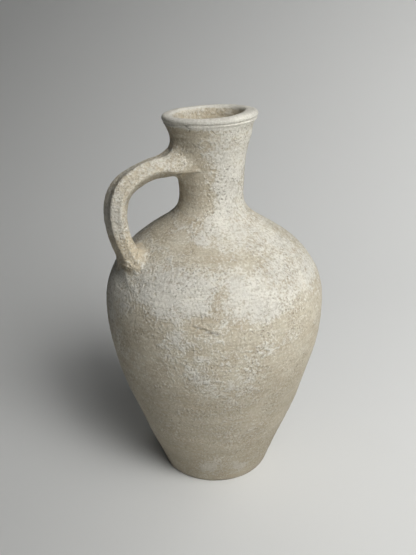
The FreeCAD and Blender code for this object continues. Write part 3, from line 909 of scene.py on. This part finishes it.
def clay(name, lime_gain=0.0, yellow_gain=0.0):
    m = bpy.data.materials.new(name)
    m.use_nodes = True
    nt = m.node_tree
    nodes, links = nt.nodes, nt.links
    bsdf = nodes["Principled BSDF"]
    bsdf.inputs["Specular IOR Level"].default_value = 0.22

    def put(kind, **kw):
        n = nodes.new(kind)
        for k_, v in kw.items():
            setattr(n, k_, v)
        return n

    def wire(src, dst):
        if isinstance(src, (int, float)):
            dst.default_value = src
        elif isinstance(src, tuple):
            dst.default_value = src
        else:
            links.new(src, dst)

    def math_(op, a_, b_=0.0, c_=0.0, clamp=False):
        n = put("ShaderNodeMath", operation=op, use_clamp=clamp)
        for i, v in enumerate((a_, b_, c_)):
            if i < len(n.inputs):
                wire(v, n.inputs[i])
        return n.outputs[0]

    def attr(nm):
        return put("ShaderNodeAttribute", attribute_name=nm).outputs["Fac"]

    def step(x, lo_, hi_):
        n = put("ShaderNodeMapRange", interpolation_type="SMOOTHSTEP")
        wire(x, n.inputs["Value"])
        wire(lo_, n.inputs["From Min"])
        wire(hi_, n.inputs["From Max"])
        return n.outputs["Result"]

    def blend(f, a_, b_, mode="MIX"):
        n = put("ShaderNodeMix", data_type="RGBA", blend_type=mode)
        wire(f, n.inputs[0])
        wire(a_, n.inputs[6])
        wire(b_, n.inputs[7])
        return n.outputs[2]

    co = put("ShaderNodeTexCoord").outputs["Object"]

    def grain(size_mm, detail=2.0, rough=0.55, stretch=None, off=(0, 0, 0)):
        mp = put("ShaderNodeMapping")
        wire(co, mp.inputs["Vector"])
        mp.inputs["Location"].default_value = off
        if stretch:
            mp.inputs["Scale"].default_value = stretch
        n = put("ShaderNodeTexNoise")
        wire(mp.outputs[0], n.inputs["Vector"])
        n.inputs["Scale"].default_value = 1000.0 / size_mm
        n.inputs["Detail"].default_value = detail
        n.inputs["Roughness"].default_value = rough
        return n.outputs["Fac"]

    lime, dark, yellow, stipple, hollow = (attr(n) for n in ("lime", "dark", "yellow", "stipple", "hollow"))
    fine = grain(1.9, 2.0, 0.6)
    mid = grain(4.5, 3.0, 0.55, off=(0.3, 0.1, 0.7))
    big = grain(17.0, 4.0, 0.55, off=(1.3, 0.6, 0.2))
    brush = grain(7.0, 3.0, 0.6, stretch=(0.35, 0.35, 2.2), off=(0.9, 0.2, 0.4))
    speck = grain(1.7, 1.0, 0.5, off=(2.1, 1.7, 0.3))
    flake = grain(2.3, 2.0, 0.6, off=(3.1, 0.7, 1.3))
    lines = grain(3.0, 2.0, 0.6, stretch=(0.16, 0.16, 1.7), off=(1.9, 2.2, 3.4))

    # bare clay: warm beige, browner where it is dark, brushed round in faint bands
    clay_c = blend(step(big, 0.36, 0.66), (0.520, 0.455, 0.345, 1), (0.600, 0.545, 0.430, 1))
    clay_c = blend(step(brush, 0.42, 0.70), clay_c, (0.630, 0.585, 0.480, 1))
    clay_c = blend(math_("MULTIPLY", step(yellow, 0.3, 1.1), 0.75), clay_c, (0.680, 0.585, 0.430, 1))
    # lime: a thin grey-white wash that lies in stippled patches
    wash_c = blend(step(big, 0.40, 0.68), (0.690, 0.672, 0.612, 1), (0.785, 0.762, 0.686, 1))
    wash_c = blend(math_("MULTIPLY", step(yellow, 0.3, 1.1), 0.55), wash_c, (0.760, 0.700, 0.570, 1))
    ragged = math_("ADD", math_("MULTIPLY", math_("SUBTRACT", fine, 0.5), 1.25), math_("MULTIPLY", math_("SUBTRACT", mid, 0.5), 0.95))
    cover = math_("ADD", math_("ADD", lime, lime_gain), ragged)
    wash_m = step(cover, 0.30, 0.78)
    colour = blend(math_("MULTIPLY", wash_m, 0.88), clay_c, wash_c)
    # thick flecks of lime
    fleck = math_("MULTIPLY", step(flake, 0.60, 0.70), step(cover, 0.35, 0.95))
    colour = blend(math_("MULTIPLY", fleck, 0.75), colour, (0.850, 0.838, 0.780, 1))
    salt = math_("MULTIPLY", step(fine, 0.53, 0.68), math_("ADD", math_("MULTIPLY", stipple, 0.35), 0.30))
    colour = blend(salt, colour, (0.820, 0.800, 0.730, 1))
    # slow darkening: darker towards the bottom and in bare patches, plus painted shade on the neck's side turned from
    # the lamps, under the strap's upper branch and deep inside the mouth
    tone = math_("MULTIPLY", step(math_("ADD", dark, math_("MULTIPLY", math_("SUBTRACT", brush, 0.5), 0.35)), 0.0, 1.0), 0.62)
    colour = blend(tone, colour, (0.300, 0.262, 0.196, 1))
    # open grain: small dark pores
    pore = math_("MULTIPLY", step(speck, 0.60, 0.72), step(math_("ADD", stipple, math_("SUBTRACT", mid, 0.5)), 0.15, 0.85))
    colour = blend(math_("MULTIPLY", pore, 0.52), colour, (0.235, 0.200, 0.150, 1))
    worn = math_("MULTIPLY", step(fine, 0.50, 0.34), math_("ADD", math_("MULTIPLY", stipple, 0.38), 0.10))
    colour = blend(worn, colour, (0.330, 0.290, 0.220, 1))
    colour = blend(math_("MULTIPLY", step(lines, 0.46, 0.32), 0.22), colour, (0.330, 0.286, 0.214, 1))
    # painted shade: scratches, pits and the crack are darkened nearly black
    colour = blend(math_("MULTIPLY", hollow, 0.85), colour, (0.090, 0.070, 0.050, 1))
    wire(colour, bsdf.inputs["Base Color"])
    wire(math_("SUBTRACT", 0.96, math_("MULTIPLY", wash_m, 0.10)), bsdf.inputs["Roughness"])
    h1 = math_("ADD", math_("MULTIPLY", fine, 0.62), math_("MULTIPLY", lines, 0.30))
    h2 = math_("ADD", math_("MULTIPLY", mid, 0.60), math_("MULTIPLY", speck, -0.25))
    h3 = math_("ADD", math_("MULTIPLY", wash_m, 0.22), math_("MULTIPLY", pore, -0.5))
    height = math_("ADD", math_("ADD", h1, h2), h3)
    bump = put("ShaderNodeBump")
    bump.inputs["Strength"].default_value = 0.85
    bump.inputs["Distance"].default_value = 0.00115
    wire(height, bump.inputs["Height"])
    links.new(bump.outputs["Normal"], bsdf.inputs["Normal"])
    return m


mat_body = clay("clay_body")
mat_neck = clay("clay_limewash", 0.02)
mat_handle = clay("clay_handle", 0.0)
mat_foot = clay("clay_foot", 0.0)
for key_, ob in pieces.items():
    ob.data.materials.append(mat_handle if key_.startswith("h_") else {"foot": mat_foot, "neck": mat_neck, "rim": mat_neck}.get(key_, mat_body))

# ------------------------------------------------------------------------------------------ studio
VIEW_TURN = math.radians(22.63)


def from_view(x, y, z):
    """Point given along the picture's right, away from the camera, and up, in mm."""
    c, s = math.cos(VIEW_TURN), math.sin(VIEW_TURN)
    return Vector((x * c + y * s, -x * s + y * c, z)) * 0.001


bpy.ops.mesh.primitive_plane_add(size=1)
floor = bpy.context.object
floor.name = "studio_sweep"
me = floor.data
prof = [(-2600, 0), (350, 0)] + [(350 + 2000 * math.sin(t), 2000 - 2000 * math.cos(t)) for t in np.linspace(0, math.pi / 2, 40)[1:]] + [(2350, 4200)]
vv, ff = [], []
for i, (y, z) in enumerate(prof):
    vv += [from_view(-3200, y, z), from_view(3200, y, z)]
    if i:
        ff.append((2 * i - 2, 2 * i - 1, 2 * i + 1, 2 * i))
me.clear_geometry()
me.from_pydata([tuple(v) for v in vv], [], ff)
for pgn in me.polygons:
    pgn.use_smooth = True
fm = bpy.data.materials.new("studio_paper")
fm.use_nodes = True
fm.node_tree.nodes["Principled BSDF"].inputs["Base Color"].default_value = (0.72, 0.724, 0.715, 1)
fm.node_tree.nodes["Principled BSDF"].inputs["Roughness"].default_value = 0.95
floor.data.materials.append(fm)


def area(name, loc, target, size, power, colour=(1, 1, 1)):
    d_ = bpy.data.lights.new(name, "AREA")
    d_.shape = "RECTANGLE"
    d_.size, d_.size_y = size
    d_.energy = power
    d_.color = colour
    o = bpy.data.objects.new(name, d_)
    bpy.context.scene.collection.objects.link(o)
    o.location = from_view(*loc)
    o.rotation_mode = "QUATERNION"
    o.rotation_quaternion = (from_view(*target) - o.location).to_track_quat("-Z", "Y")
    return o


def sky(az, el, dist):
    a_, e_ = math.radians(az), math.radians(el)
    return (dist * math.cos(e_) * math.cos(a_), dist * math.cos(e_) * math.sin(a_), 150 + dist * math.sin(e_))


# one tall window to the right and in front, built from three soft panels, and two fills for the paper behind
for name_, loc_, aim_, size_m, watts, spread_ in (
        ("window_mid", sky(-46, 42, 1700), (650, 100, 0), 1.0, 5.6, 80),
        ("window_left", sky(-60, 35, 1700), (500, 100, 0), 1.0, 4.2, 95),
        ("window_top", sky(-45, 60, 1800), (0, 0, 150), 1.0, 4.0, 180),
        ("paper_fill", (1500, 600, 1500), (900, 1600, 500), 0.8, 5.8, 110),
        ("paper_low", (1300, 1000, 900), (350, 400, 0), 0.8, 0.9, 100)):
    lamp = area(name_, loc_, aim_, (size_m, size_m), watts, (1.0, 0.998, 0.985))
    lamp.data.spread = math.radians(spread_)
world = bpy.data.worlds.new("studio_world")
bpy.context.scene.world = world
world.use_nodes = True
world.node_tree.nodes["Background"].inputs["Color"].default_value = (0.92, 0.96, 1.0, 1)
world.node_tree.nodes["Background"].inputs["Strength"].default_value = 0.022

# camera: 52 mm on a 36 mm long side, looking down 23 degrees, rolled a touch
CAM_D, CAM_H, PITCH, YAW, ROLL = 628.703, 448.813, 23.309, -0.370, 1.174
pt, yw, rl = (math.radians(v) for v in (PITCH, YAW, ROLL))
fwd = Vector((math.sin(yw) * math.cos(pt), math.cos(yw) * math.cos(pt), -math.sin(pt)))
right = Vector((math.cos(yw), -math.sin(yw), 0))
up = right.cross(fwd)
xa = right * math.cos(rl) - up * math.sin(rl)
ya = right * math.sin(rl) + up * math.cos(rl)


def turn(v):
    c, s = math.cos(VIEW_TURN), math.sin(VIEW_TURN)
    return Vector((v.x * c + v.y * s, -v.x * s + v.y * c, v.z))


xa, ya, za = turn(xa), turn(ya), turn(-fwd)
cam_data = bpy.data.cameras.new("camera")
cam = bpy.data.objects.new("camera", cam_data)
bpy.context.scene.collection.objects.link(cam)
cam_data.sensor_fit = "AUTO"
cam_data.sensor_width = 36.0
cam_data.lens = 800.0 / 555.0 * 36.0
loc = from_view(0, -CAM_D, CAM_H)
cam.matrix_world = Matrix(((xa.x, ya.x, za.x, loc.x), (xa.y, ya.y, za.y, loc.y), (xa.z, ya.z, za.z, loc.z), (0, 0, 0, 1)))
cam_data.clip_start, cam_data.clip_end = 0.01, 50
bpy.context.scene.camera = cam
bpy.context.scene.view_settings.view_transform = "Standard"
